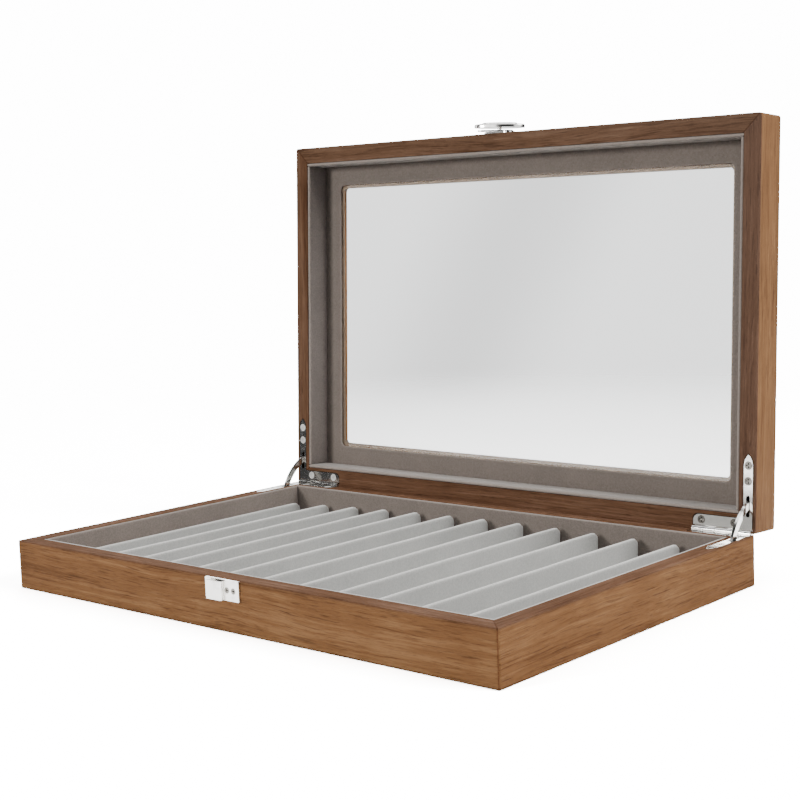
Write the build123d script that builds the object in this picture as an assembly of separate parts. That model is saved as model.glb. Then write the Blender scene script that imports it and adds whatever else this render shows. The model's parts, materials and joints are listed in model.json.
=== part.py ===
from build123d import *
from math import asin, cos, degrees, radians, sin
import os

# A flat wooden pen display case with a glazed lid, standing open.
# The origin is the centre of the base's underside. +X points to the right of someone
# facing the front, +Y to the hinged side and +Z up. All sizes are in millimetres.

# Outer box
case_width = 340.0
case_depth = 220.0
base_height = 27.0
lid_height = 21.5
wall_thickness = 10.0
corner_radius = 1.5
arris_radius = 0.8
rim_arris_radius = 0.3
rim_gap = 0.4
lid_open_angle = 93.0

# Base floor and cloth-covered lining boards
bottom_thickness = 4.0
lining_thickness = 2.0

# Pen tray
slot_count = 12
tray_floor_thickness = 2.0
tray_clearance = 0.3
divider_thickness = 2.0
divider_height = 15.8
divider_crown = 3.4
divider_crown_centre = 45.0
divider_end_gap = 0.5
divider_corner_radius = 5.0

# Lid panel and window
rail_thickness = 4.0
window_margin = 26.0
window_corner_radius = 2.5
glass_thickness = 1.8
glass_overlap = 4.0
glass_clearance = 0.3
panel_lining_thickness = 1.0
panel_lining_reveal = 2.0
panel_lining_corner_radius = 3.5

# Corner hinges: L-shaped leaves let into both rims
leaf_thickness = 1.5
leaf_sink = 0.1
leaf_clearance = 0.5
side_leg_length = 42.0
side_leg_width = 5.3
side_leg_inset = 2.0
side_leg_point = 6.0
back_leg_length = 37.5
back_leg_width = 7.8
back_leg_corner_radius = 3.5
pivot_overhang = 0.0
knuckle_count = 5
knuckle_gap = 0.4
knuckle_running_gap = 0.3
pin_radius = 0.9
pin_clearance = 0.05
side_screw_insets = (27.9, 36.2)
back_screw_insets = (12.6, 32.5)
back_screw_line = 5.0

# Curved stays that stop the lid
stay_middle_reach = 12.2
stay_crossing_reach = 15.0
stay_width = 3.3
stay_thickness = 1.6
stay_side_gap = 0.3
stay_overrun = 3.8
stay_head_radius = 1.1
stay_head_length = 3.8
stay_slot_back_gap = 1.8
stay_slot_front_gap = 3.5
mortise_gap = 0.4

# How far a cut runs past the face that it opens
cut_overrun = 1.0

# Countersunk cross-head screws
hinge_screw_head_radius = 2.3
hinge_screw_head_height = 1.3
hinge_screw_shank_radius = 1.0
hinge_screw_length = 9.0
hinge_screw_recess = 0.1
small_screw_head_radius = 1.6
small_screw_head_height = 0.9
small_screw_shank_radius = 0.8
small_screw_length = 6.5
small_screw_recess = 0.05
cross_length_share = 1.25
cross_width_share = 0.28
cross_depth_share = 0.6

# Turn latch on the lid's front board
latch_x = -5.0
latch_rise = 5.5
latch_rest_angle = 30.0
rose_length = 20.6
rose_width = 8.5
rose_thickness = 1.1
rose_screw_offset = 6.8
post_radius = 1.2
post_depth = 6.0
post_clearance = 0.05
tongue_thickness = 0.8
tongue_reach = 13.0
tongue_tail = 8.0
tongue_width = 4.8
knob_half_length = 15.0
knob_half_width = 6.5
knob_plate_thickness = 2.1
knob_edge_radius = 0.9
knob_boss_half_length = 10.5
knob_boss_half_width = 4.3
knob_boss_height = 0.9
knob_boss_edge_radius = 0.7

# Keeper on the base's front board
keeper_x = 0.3
keeper_width = 24.0
keeper_height = 10.4
keeper_drop = 0.2
keeper_plate_thickness = 1.1
keeper_corner_radius = 0.6
hood_skin = 0.7
hood_left = -9.0
hood_top_drop = 0.9
bead_x = 0.3
bead_hole_radius = 0.45
keeper_screw_xs = (3.9, 8.4)
latch_running_gap = 0.3

# Values worked out from the sizes above
half_width = case_width / 2
half_depth = case_depth / 2
inner_half_width = half_width - wall_thickness
inner_half_depth = half_depth - wall_thickness
lid_rim = base_height + rim_gap
lid_top = lid_rim + lid_height
pivot_y = half_depth + pivot_overhang
pivot_z = base_height + rim_gap / 2
knuckle_radius = rim_gap / 2 + leaf_sink + leaf_thickness
leg_centre_x = half_width - side_leg_inset - side_leg_width / 2
leg_outer_x = half_width - side_leg_inset
barrel_inner_x = half_width - back_leg_length

# Each stay is an arc flatter than a circle about the pin. Its middle lies nearest the pin and
# it crosses both rims farther out. stay_centre_reach is negative where the arc's centre lies
# beyond the pin
stay_half_chord = stay_crossing_reach * sin(radians(lid_open_angle / 2))
stay_rise = stay_middle_reach - stay_crossing_reach * cos(radians(lid_open_angle / 2))
stay_curve_radius = (stay_half_chord**2 + stay_rise**2) / (2 * stay_rise)
stay_centre_reach = stay_middle_reach - stay_curve_radius
stay_half_angle = degrees(
    asin(stay_half_chord / stay_curve_radius) + stay_overrun / stay_curve_radius
)
stay_end_out = stay_centre_reach + stay_curve_radius * cos(radians(stay_half_angle))
stay_end_aside = stay_curve_radius * sin(radians(stay_half_angle))
stay_slot_near = stay_middle_reach - stay_width / 2 - stay_slot_back_gap
stay_slot_far = stay_crossing_reach + stay_width / 2 + stay_slot_front_gap

closed_to_open = (
    Pos(0, pivot_y, pivot_z) * Rot(-lid_open_angle, 0, 0) * Pos(0, -pivot_y, -pivot_z)
)
# Turns a hinge half over, from the base's rim to the shut lid's rim
rim_mirror = Plane.XY.offset(pivot_z)


def block(x_low, x_high, y_low, y_high, z_low, z_high):
    centre = Pos((x_low + x_high) / 2, (y_low + y_high) / 2, (z_low + z_high) / 2)
    return centre * Box(x_high - x_low, y_high - y_low, z_high - z_low)


def save(name, shape):
    export_step(shape, f"parts/{name}.step")


def save_lid(name, shape):
    save(name, closed_to_open * shape)


# The two outline corners that each side's board runs between, as signs of x and y
side_corners = {
    "front": ((-1, -1), (1, -1)),
    "back": ((-1, 1), (1, 1)),
    "left": ((-1, -1), (-1, 1)),
    "right": ((1, -1), (1, 1)),
}


# Four boards or rails meet at mitres, so each is a wedge of a ring
def mitre_wedge(side, outer_inset, inner_inset, low, high):
    corners = side_corners[side]
    points = [(sx * (half_width - outer_inset), sy * (half_depth - outer_inset)) for sx, sy in corners]
    corners = corners[::-1]
    points += [(sx * (half_width - inner_inset), sy * (half_depth - inner_inset)) for sx, sy in corners]
    return Pos(0, 0, low) * extrude(make_face(Polyline(*points, close=True)), high - low)


def mitred_boards(low, high, low_arris, high_arris):
    outer = block(-half_width, half_width, -half_depth, half_depth, low, high)
    outer = fillet(outer.edges().filter_by(Axis.Z), corner_radius)
    outer = fillet(outer.faces().sort_by(Axis.Z)[0].edges(), low_arris)
    outer = fillet(outer.faces().sort_by(Axis.Z)[-1].edges(), high_arris)
    hollow = block(-inner_half_width, inner_half_width, -inner_half_depth, inner_half_depth, low, high)
    ring = outer - hollow
    return {
        side: ring & mitre_wedge(side, -wall_thickness, wall_thickness, low, high)
        for side in side_corners
    }


# Lining boards stand inside the walls: the front and back ones run the full width
def lining_boards(low, high):
    reach_x = inner_half_width - lining_thickness
    reach_y = inner_half_depth - lining_thickness
    return {
        "front": block(-inner_half_width, inner_half_width, -inner_half_depth, -reach_y, low, high),
        "back": block(-inner_half_width, inner_half_width, reach_y, inner_half_depth, low, high),
        "left": block(-inner_half_width, -reach_x, -reach_y, reach_y, low, high),
        "right": block(reach_x, inner_half_width, -reach_y, reach_y, low, high),
    }


# A countersunk screw points down, its head flush at z = 0
def screw_body(head_radius, head_height, shank_radius, length):
    head = Pos(0, 0, -head_height / 2) * Cone(shank_radius, head_radius, head_height)
    shank = Pos(0, 0, -(head_height + length) / 2) * Cylinder(shank_radius, length - head_height)
    return head + shank


def cross_recess(head_radius, head_height):
    width = cross_width_share * head_radius
    length = cross_length_share * head_radius
    depth = cross_depth_share * head_height
    arm = Pos(0, 0, -depth / 2) * Box(length, width, depth)
    return arm + Rot(0, 0, 90) * arm


hinge_screw_body = screw_body(
    hinge_screw_head_radius, hinge_screw_head_height, hinge_screw_shank_radius, hinge_screw_length
)
hinge_screw = hinge_screw_body - cross_recess(hinge_screw_head_radius, hinge_screw_head_height)
small_screw_body = screw_body(
    small_screw_head_radius, small_screw_head_height, small_screw_shank_radius, small_screw_length
)
small_screw = small_screw_body - cross_recess(small_screw_head_radius, small_screw_head_height)

# The hole for a screw also takes the short step from its head up to the plate's face
hinge_screw_hole = hinge_screw_body + (
    Pos(0, 0, hinge_screw_recess / 2) * Cylinder(hinge_screw_head_radius, hinge_screw_recess)
)
small_screw_hole = small_screw_body + (
    Pos(0, 0, small_screw_recess / 2) * Cylinder(small_screw_head_radius, small_screw_recess)
)


# Hinge leaf outline on the right-hand back corner, seen from above
def leaf_outline(grow):
    half_leg = side_leg_width / 2 + grow
    point_radius = (side_leg_point**2 + half_leg**2) / (2 * half_leg)
    leg_front = half_depth - side_leg_length + side_leg_point - grow
    centre_shift = point_radius - half_leg
    point = Pos(leg_centre_x + centre_shift, leg_front) * Circle(point_radius)
    point &= Pos(leg_centre_x - centre_shift, leg_front) * Circle(point_radius)
    leg_length = half_depth - leg_front
    side_leg = Pos(leg_centre_x, half_depth - leg_length / 2) * Rectangle(2 * half_leg, leg_length)
    back_width = back_leg_width + grow
    back_length = leg_outer_x - barrel_inner_x + 2 * grow
    back_leg = Pos((leg_outer_x + barrel_inner_x) / 2, half_depth - back_width / 2) * Rectangle(
        back_length, back_width
    )
    end_corner = back_leg.vertices().sort_by(Axis.X)[:2].sort_by(Axis.Y)[0]
    back_leg = fillet(end_corner, back_leg_corner_radius)
    return point + side_leg + back_leg


leaf_top = base_height - leaf_sink
leaf_low = leaf_top - leaf_thickness
screw_places = [(leg_centre_x, half_depth - inset) for inset in side_screw_insets]
screw_places += [(half_width - inset, half_depth - back_screw_line) for inset in back_screw_insets]

knuckle_pitch = (leg_outer_x - barrel_inner_x) / knuckle_count


def knuckle_span(index):
    low = barrel_inner_x + index * knuckle_pitch + knuckle_gap / 2
    return low, low + knuckle_pitch - knuckle_gap


def barrel_cylinder(radius, x_low, x_high):
    centre = Pos((x_low + x_high) / 2, pivot_y, pivot_z)
    return centre * Rot(0, 90, 0) * Cylinder(radius, x_high - x_low)


# One leaf with its own knuckles, cut back where the other leaf's knuckles turn
def hinge_leaf(own_knuckles):
    leaf = Pos(0, 0, leaf_low) * extrude(leaf_outline(0), leaf_thickness)
    slot_length = stay_slot_far - stay_slot_near
    slot_width = stay_thickness + 2 * stay_side_gap
    slot_y = pivot_y - (stay_slot_near + stay_slot_far) / 2
    slot = Pos(leg_centre_x, slot_y, leaf_low) * extrude(
        SlotOverall(slot_length, slot_width, rotation=90), leaf_thickness
    )
    leaf -= slot
    for index in range(knuckle_count):
        low, high = knuckle_span(index)
        if index in own_knuckles:
            leaf += block(low, high, half_depth - back_leg_width / 2, pivot_y, leaf_low, leaf_top)
            leaf += barrel_cylinder(knuckle_radius, low, high)
        else:
            gap_low = low - knuckle_gap
            gap_high = high + knuckle_gap
            leaf -= barrel_cylinder(knuckle_radius + knuckle_running_gap, gap_low, gap_high)
    bore_low = barrel_inner_x - cut_overrun
    bore_high = leg_outer_x + cut_overrun
    leaf -= barrel_cylinder(pin_radius + pin_clearance, bore_low, bore_high)
    for x, y in screw_places:
        leaf -= Pos(x, y, leaf_top - hinge_screw_recess) * hinge_screw_hole
    return leaf


# The pocket below the leaf that the stay swings into as the lid shuts. Its front lies below the
# slot's, and its back and floor clear the end of the stay with the lid shut
def stay_mortise():
    front = pivot_y - stay_slot_far - mortise_gap
    back = pivot_y - stay_end_out + stay_width / 2 + mortise_gap
    low = pivot_z - stay_end_aside - stay_width / 2 - mortise_gap
    reach = stay_head_length / 2 + mortise_gap
    return block(leg_centre_x - reach, leg_centre_x + reach, front, back, low, base_height)


# The barrel lies partly in the rim, so the recess is rounded out below the knuckles
def leaf_recess():
    depth = leaf_thickness + leaf_sink
    low = barrel_inner_x - leaf_clearance
    high = leg_outer_x + leaf_clearance
    recess = Pos(0, 0, base_height - depth) * extrude(leaf_outline(leaf_clearance), depth)
    recess += block(
        low, high, half_depth - back_leg_width / 2, half_depth + cut_overrun,
        base_height - depth, base_height,
    )
    return recess + barrel_cylinder(knuckle_radius + knuckle_running_gap, low, high)


def hinge_cutter():
    cutter = leaf_recess() + stay_mortise()
    for x, y in screw_places:
        cutter += Pos(x, y, leaf_top - hinge_screw_recess) * hinge_screw_hole
    return cutter


def hinge_screws():
    return [Pos(x, y, leaf_top - hinge_screw_recess) * hinge_screw for x, y in screw_places]


# The stay has a cross head at each end. It is drawn with its middle along local x, which then
# turns to halfway between the two rims
def stay():
    centre_line = CenterArc(
        (stay_centre_reach, 0), stay_curve_radius, -stay_half_angle, 2 * stay_half_angle
    )
    band = extrude(SlotArc(centre_line, stay_width), stay_thickness / 2, both=True)
    for aside in (-stay_end_aside, stay_end_aside):
        band += Pos(stay_end_out, aside) * Cylinder(stay_head_radius, stay_head_length)
    pin_plane = Plane((leg_centre_x, pivot_y, pivot_z), x_dir=(0, 1, 0), z_dir=(1, 0, 0))
    return pin_plane * Rot(0, 0, 180 - lid_open_angle / 2) * band


base_knuckles = tuple(range(0, knuckle_count, 2))
lid_knuckles = tuple(range(1, knuckle_count, 2))
base_leaf = hinge_leaf(base_knuckles)
lid_leaf = mirror(hinge_leaf(lid_knuckles), about=rim_mirror)
base_hinge_cutter = hinge_cutter()
lid_hinge_cutter = mirror(base_hinge_cutter, about=rim_mirror)
base_screws = hinge_screws()
lid_screws = [mirror(screw, about=rim_mirror) for screw in base_screws]
hinge_pin = barrel_cylinder(pin_radius, barrel_inner_x, leg_outer_x)
hinge_stay = stay()


def both_sides(shape):
    return shape + mirror(shape, about=Plane.YZ)


for hand in ("right", "left"):
    def placed(shape):
        return shape if hand == "right" else mirror(shape, about=Plane.YZ)

    save(f"{hand}_hinge_base_leaf", placed(base_leaf))
    save(f"{hand}_hinge_pin", placed(hinge_pin))
    save(f"{hand}_lid_stay", placed(hinge_stay))
    save(f"{hand}_hinge_base_screws", Compound(children=[placed(screw) for screw in base_screws]))
    save_lid(f"{hand}_hinge_lid_leaf", placed(lid_leaf))
    save_lid(f"{hand}_hinge_lid_screws", Compound(children=[placed(screw) for screw in lid_screws]))

# Latch parts stand on a front board: local x runs right, local y up and local z outward
def front_plane(x, z):
    return Plane((x, -half_depth, z), x_dir=(1, 0, 0), z_dir=(0, -1, 0))


latch_plane = front_plane(latch_x, lid_rim + latch_rise)
rose_screw_places = [
    Pos(offset, 0, rose_thickness - small_screw_recess)
    for offset in (-rose_screw_offset, rose_screw_offset)
]
tongue_low = rose_thickness + latch_running_gap
tongue_high = tongue_low + tongue_thickness
hood_inner = tongue_high + latch_running_gap
hood_front = hood_inner + hood_skin
knob_low = hood_front + latch_running_gap

rose = extrude(SlotOverall(rose_length, rose_width), rose_thickness)
post_hole = Pos(0, 0, rose_thickness - (rose_thickness + post_depth) / 2) * Cylinder(
    post_radius + post_clearance, rose_thickness + post_depth
)
rose -= post_hole
for place in rose_screw_places:
    rose -= place * small_screw_hole
save_lid("latch_rose", latch_plane * rose)
save_lid(
    "latch_rose_screws",
    Compound(children=[latch_plane * place * small_screw for place in rose_screw_places]),
)

turned = latch_plane * Rot(0, 0, latch_rest_angle)
post = Pos(0, 0, (knob_low - post_depth) / 2) * Cylinder(post_radius, knob_low + post_depth)
save_lid("latch_post", turned * post)

tongue = Pos((tongue_tail - tongue_reach) / 2, 0, tongue_low) * extrude(
    SlotOverall(tongue_reach + tongue_tail, tongue_width), tongue_thickness
)
tongue -= post
save_lid("latch_tongue", turned * tongue)

knob = extrude(Ellipse(knob_half_length, knob_half_width), knob_plate_thickness)
knob = fillet(knob.faces().sort_by(Axis.Z)[-1].edges(), knob_edge_radius)
boss = extrude(Ellipse(knob_boss_half_length, knob_boss_half_width), knob_boss_height)
boss = fillet(boss.faces().sort_by(Axis.Z)[-1].edges(), knob_boss_edge_radius)
knob += Pos(0, 0, knob_plate_thickness) * boss
save_lid("latch_knob", turned * Pos(0, 0, knob_low) * knob)

# Keeper: a flat plate with a bead and a hood that the tongue turns behind
keeper_plane = front_plane(0, base_height - keeper_drop - keeper_height)
plate = Pos(keeper_x, keeper_height / 2, 0) * extrude(
    RectangleRounded(keeper_width, keeper_height, keeper_corner_radius), keeper_plate_thickness
)
bead_radius = (hood_front - keeper_plate_thickness / 2) / 2
hood_height = keeper_height - hood_top_drop
hood = Pos((hood_left + bead_x) / 2, hood_height / 2, hood_front - hood_skin / 2) * Box(
    bead_x - hood_left, hood_height, hood_skin
)
bead_place = Pos(bead_x, hood_height / 2, hood_front - bead_radius) * Rot(90, 0, 0)
keeper = plate + hood + bead_place * Cylinder(bead_radius, hood_height)
keeper -= bead_place * Cylinder(bead_hole_radius, 2 * keeper_height)
keeper_screw_places = [
    Pos(x, keeper_height / 2, keeper_plate_thickness - small_screw_recess)
    for x in keeper_screw_xs
]
for place in keeper_screw_places:
    keeper -= place * small_screw_hole
save("latch_keeper", keeper_plane * keeper)
save(
    "latch_keeper_screws",
    Compound(children=[keeper_plane * place * small_screw for place in keeper_screw_places]),
)

# Base boards, with the hinge and screw recesses
hinge_cuts = both_sides(base_hinge_cutter)
for side, board in mitred_boards(0, base_height, arris_radius, rim_arris_radius).items():
    if side == "front":
        for place in keeper_screw_places:
            board -= keeper_plane * place * small_screw_hole
    else:
        board -= hinge_cuts
    save(f"base_{side}_wall", board)
save("base_bottom_panel", block(
    -inner_half_width, inner_half_width, -inner_half_depth, inner_half_depth, 0, bottom_thickness
))
for side, board in lining_boards(bottom_thickness, base_height).items():
    save(f"base_{side}_lining", board)

# Pen tray: a floor with a low flap against each side lining and dividers between the slots
tray_half_width = inner_half_width - lining_thickness - tray_clearance
tray_half_depth = inner_half_depth - lining_thickness - tray_clearance
tray_floor_top = bottom_thickness + tray_floor_thickness
save("tray_floor", block(
    -tray_half_width, tray_half_width, -tray_half_depth, tray_half_depth,
    bottom_thickness, tray_floor_top,
))


# The folded tray bows up a little, so the dividers' tops follow a shallow parabola
def divider_top(x):
    drop = divider_crown * ((x - divider_crown_centre) / inner_half_width) ** 2
    return tray_floor_top + divider_height - drop


def divider(x):
    reach = inner_half_depth - lining_thickness - divider_end_gap
    top = divider_top(x)
    board = block(
        x - divider_thickness / 2, x + divider_thickness / 2, -reach, reach, tray_floor_top, top
    )
    ends = board.edges().filter_by(Axis.X).group_by(Axis.Z)[-1]
    return fillet(ends, min(divider_corner_radius, 0.8 * (top - tray_floor_top)))


flap_x = tray_half_width - divider_thickness / 2
slot_pitch = 2 * flap_x / slot_count
save("tray_left_flap", divider(-flap_x))
save("tray_right_flap", divider(flap_x))
for index in range(1, slot_count):
    save(f"tray_divider_{index}", divider(-flap_x + index * slot_pitch))

# Lid boards
lid_hinge_cuts = both_sides(lid_hinge_cutter)
for side, board in mitred_boards(lid_rim, lid_top, rim_arris_radius, arris_radius).items():
    if side == "front":
        board -= latch_plane * post_hole
        for place in rose_screw_places:
            board -= latch_plane * place * small_screw_hole
    else:
        board -= lid_hinge_cuts
    save_lid(f"lid_{side}_wall", board)

# Lid top: four mitred rails around the window, rebated inside for the glass
rail_low = lid_top - rail_thickness
window_half_width = half_width - window_margin
window_half_depth = half_depth - window_margin
rail_ring = block(
    -inner_half_width, inner_half_width, -inner_half_depth, inner_half_depth, rail_low, lid_top
)
rail_ring -= Pos(0, 0, rail_low) * extrude(
    RectangleRounded(2 * window_half_width, 2 * window_half_depth, window_corner_radius), rail_thickness
)
rebate_half_width = window_half_width + glass_overlap
rebate_half_depth = window_half_depth + glass_overlap
rail_ring -= block(
    -rebate_half_width, rebate_half_width, -rebate_half_depth, rebate_half_depth,
    rail_low, rail_low + glass_thickness,
)
for side in side_corners:
    wedge = mitre_wedge(side, wall_thickness, window_margin + window_corner_radius, rail_low, lid_top)
    save_lid(f"lid_{side}_rail", rail_ring & wedge)

save_lid("lid_glass", block(
    glass_clearance - rebate_half_width, rebate_half_width - glass_clearance,
    glass_clearance - rebate_half_depth, rebate_half_depth - glass_clearance,
    rail_low, rail_low + glass_thickness,
))

# Lid lining: a cloth-covered frame over the rails and four boards on the walls
panel_lining_low = rail_low - panel_lining_thickness
panel_lining = block(
    -inner_half_width, inner_half_width, -inner_half_depth, inner_half_depth, panel_lining_low, rail_low
)
panel_lining -= Pos(0, 0, panel_lining_low) * extrude(
    RectangleRounded(
        2 * (window_half_width + panel_lining_reveal),
        2 * (window_half_depth + panel_lining_reveal),
        panel_lining_corner_radius,
    ),
    panel_lining_thickness,
)
save_lid("lid_panel_lining", panel_lining)
for side, board in lining_boards(lid_rim, panel_lining_low).items():
    save_lid(f"lid_{side}_lining", board)
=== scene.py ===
import json
import math

import bmesh
import bpy
import numpy as np
from mathutils import Matrix, Vector


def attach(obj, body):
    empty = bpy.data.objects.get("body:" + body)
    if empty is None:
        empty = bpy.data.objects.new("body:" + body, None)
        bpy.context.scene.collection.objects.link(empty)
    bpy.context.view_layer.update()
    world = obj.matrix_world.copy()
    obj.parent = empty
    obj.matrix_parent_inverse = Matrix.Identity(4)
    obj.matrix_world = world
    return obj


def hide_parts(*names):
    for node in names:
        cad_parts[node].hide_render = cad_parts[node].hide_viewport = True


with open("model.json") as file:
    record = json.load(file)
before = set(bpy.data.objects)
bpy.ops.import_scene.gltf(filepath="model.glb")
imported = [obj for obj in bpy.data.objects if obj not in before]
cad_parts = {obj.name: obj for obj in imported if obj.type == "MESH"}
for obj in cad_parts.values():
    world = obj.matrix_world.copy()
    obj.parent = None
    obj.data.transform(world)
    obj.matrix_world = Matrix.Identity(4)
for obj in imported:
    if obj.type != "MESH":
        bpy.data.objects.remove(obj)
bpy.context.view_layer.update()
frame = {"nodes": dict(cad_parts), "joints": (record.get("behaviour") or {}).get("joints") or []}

print("frame loaded with", len(frame["nodes"]), "nodes")

# The lid was built shut and then turned open about its hinge pin, so lid pieces are
# worked out shut and turned with it
lidHinge = next(joint for joint in frame["joints"] if joint["name"] == "lid_hinge")
pinPoint = np.array(lidHinge["pos_m"], float)
lidAngle = math.radians(lidHinge["range_deg"][1])


# Points turned about the hinge pin, which runs along x
def turnAboutPin(points, angle):
    c, s = math.cos(angle), math.sin(angle)
    p = np.asarray(points, float) - pinPoint
    turned = np.stack([p[..., 0], p[..., 1] * c - p[..., 2] * s, p[..., 1] * s + p[..., 2] * c], axis=-1)
    return turned + pinPoint


def openLid(points):
    return turnAboutPin(points, -lidAngle)


def shutLid(points):
    return turnAboutPin(points, lidAngle)


def nodePoints(name):
    mesh = frame["nodes"][name].data
    flat = np.zeros(len(mesh.vertices) * 3, np.float32)
    mesh.vertices.foreach_get("co", flat)
    return flat.reshape(-1, 3).astype(float)


# Lowest and highest corner of a node, and of a lid node as it lies when shut
def restBox(name):
    points = nodePoints(name)
    return points.min(axis=0), points.max(axis=0)


def shutBox(name):
    points = shutLid(nodePoints(name))
    return points.min(axis=0), points.max(axis=0)


# Camera fitted to the photo's corners: metres, degrees and millimetres of lens and sensor
cameraLook = {
    "place": (0.5550, -0.5980, 0.1957), "azimuth": -40.31, "elevation": -6.29, "roll": -1.92,
    "lens": 68.78, "sensor": 36, "shiftX": -0.0462, "shiftY": -0.0111,
}


def makeCamera(look):
    azimuth, elevation, roll = (math.radians(look[key]) for key in ("azimuth", "elevation", "roll"))
    forward = Vector((
        math.cos(elevation) * math.sin(azimuth),
        math.cos(elevation) * math.cos(azimuth),
        math.sin(elevation),
    ))
    level = forward.cross(Vector((0, 0, 1))).normalized()
    upright = level.cross(forward)
    right = math.cos(roll) * level + math.sin(roll) * upright
    up = math.cos(roll) * upright - math.sin(roll) * level
    data = bpy.data.cameras.new("photoCamera")
    data.lens = look["lens"]
    data.sensor_width = look["sensor"]
    data.shift_x = look["shiftX"]
    data.shift_y = look["shiftY"]
    camera = bpy.data.objects.new("photoCamera", data)
    bpy.context.scene.collection.objects.link(camera)
    turn = Matrix((right, up, -forward)).transposed().to_4x4()
    camera.matrix_world = Matrix.Translation(look["place"]) @ turn
    bpy.context.scene.camera = camera


makeCamera(cameraLook)
print("camera placed")


# Shader helpers: put() adds a node and fills or links its inputs
def put(tree, kind, feeds=(), **settings):
    node = tree.nodes.new("ShaderNode" + kind)
    for key, value in settings.items():
        setattr(node, key, value)
    for key, value in dict(feeds).items():
        if isinstance(value, bpy.types.NodeSocket):
            tree.links.new(value, node.inputs[key])
        else:
            node.inputs[key].default_value = value
    return node


def sums(tree, how, first, second=0.0, third=0.0):
    return put(tree, "Math", {0: first, 1: second, 2: third}, operation=how).outputs[0]


# A start value plus each value times its share
def blended(tree, shares, start=0.0):
    total = start
    for value, share in shares:
        total = sums(tree, "MULTIPLY_ADD", value, share, total)
    return total


# How far a value lies from a place, and how far its size lies past a half width
def apart(tree, value, place):
    return sums(tree, "ABSOLUTE", sums(tree, "SUBTRACT", value, place))


def past(tree, value, half):
    return sums(tree, "SUBTRACT", sums(tree, "ABSOLUTE", value), half)


def stretched(tree, vector, factors):
    return put(tree, "VectorMath", {0: vector, 1: factors}, operation="MULTIPLY").outputs[0]


def noise(tree, vector, scale=1.0, detail=2.0):
    return put(tree, "TexNoise", {"Vector": vector, "Scale": scale, "Detail": detail})


def remap(tree, value, low, high, toLow=0.0, toHigh=1.0, smooth=True):
    kind = "SMOOTHSTEP" if smooth else "LINEAR"
    feeds = {"Value": value, 1: low, 2: high, 3: toLow, 4: toHigh}
    return put(tree, "MapRange", feeds, interpolation_type=kind).outputs[0]


def mixColours(tree, factor, first, second, how="MIX"):
    node = put(tree, "Mix", {0: factor, 6: first, 7: second}, data_type="RGBA", blend_type=how)
    return node.outputs[2]


def newGroup(name, takes, gives):
    group = bpy.data.node_groups.new(name, "ShaderNodeTree")
    for label, kind in takes:
        group.interface.new_socket(name=label, in_out="INPUT", socket_type="NodeSocket" + kind)
    for label, kind in gives:
        group.interface.new_socket(name=label, in_out="OUTPUT", socket_type="NodeSocket" + kind)
    return group, group.nodes.new("NodeGroupInput").outputs, group.nodes.new("NodeGroupOutput").inputs


def useGroup(tree, group, feeds):
    return put(tree, "Group", feeds, node_tree=group).outputs


def newMaterial(name):
    material = bpy.data.materials.new(name)
    material.use_nodes = True
    return material, material.node_tree, material.node_tree.nodes["Principled BSDF"]


def bumpInto(tree, shader, height, depth):
    bump = put(tree, "Bump", {"Height": height, "Distance": depth, "Strength": 1.0})
    tree.links.new(bump.outputs["Normal"], shader.inputs["Normal"])


veneer = {
    "dark": (0.150, 0.066, 0.026, 1), "middle": (0.262, 0.126, 0.053, 1), "light": (0.375, 0.196, 0.090, 1),
    "fleck": (0.060, 0.026, 0.012, 1), "fleckDepth": 0.45, "poreDepth": 0.30, "grainDepth": 0.00005,
    # noises: cells per metre along and across the grain, and detail
    "bands": (2.5, 95.0, 2.0), "streaks": (15.0, 560.0, 3.0), "fibres": (60.0, 2600.0, 2.0),
    "figure": (36.0, 15.0, 1.0), "flecks": (50.0, 1150.0, 1.0), "pores": (150.0, 4600.0, 1.0),
    # bends of the grain: cells per metre along and across it, and reach to the side
    "slowBend": (5.0, 20.0, 0.014), "quickBend": (28.0, 110.0, 0.0016),
    # shares of the noises in the tone, and the tones between which the colours change
    "toneShares": {"bands": 0.30, "streaks": 0.34, "fibres": 0.20, "figure": 0.16},
    "toMiddle": (0.37, 0.50), "toLight": (0.50, 0.63), "fleckRange": (0.57, 0.73), "poreRange": (0.58, 0.68),
    "roughness": 0.30, "streakRoughness": 0.14, "poreRoughness": 0.20, "fleckSink": -0.5, "poreSink": -0.7,
    "coat": 0.08, "rimCoat": 0.02, "coatRoughness": 0.32,
    # where each board's grain is cut from, and how that moves along the three axes
    "seeds": {"base": 1.3, "lid": 7.1, "rail": 13.7, "bottom": 21.9}, "seedShift": (1.0, 0.31, 0.17),
    # tints multiply the colour; painted light makes the lid's right wall a little paler
    # the base's rim tint is a darker stain plus a painted grey-purple reflection
    "baseRimTint": (0.61, 0.66, 0.90, 1), "lidRimTint": (0.54, 0.58, 0.78, 1),
    "lidFrontRimTint": (0.64, 0.74, 1.05, 1), "seamTint": (0.66, 0.57, 0.54, 1),
    # painted shade: the first colour on the next line darkens the rim's recesses, the second the base's
    # bottom edge
    "recessTint": (0.16, 0.14, 0.13, 1), "farTint": (0.55, 0.55, 0.50, 1),
    "bleach": (0.48, 0.34, 0.235, 1), "bleached": 0.09,
    # distances from an edge between which a tint goes from full to none: the dark seam, the rim's stain and
    # painted reflection, the painted shade on the base's bottom edge and the rim's fade below it
    "seamWidth": (0.00015, 0.00075), "rimStain": (0.0002, 0.0008), "farStain": (0.0003, 0.0016),
    "rimFade": (0.0004, 0.0016), "rimFadeShare": 0.45,
    # distances from the faces, the rim and the far edge between which a recess gets painted shade
    "recessInside": (0.0009, 0.0013), "recessUnder": (0.00025, 0.00045), "recessOver": (0.0006, 0.0010),
}


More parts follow.
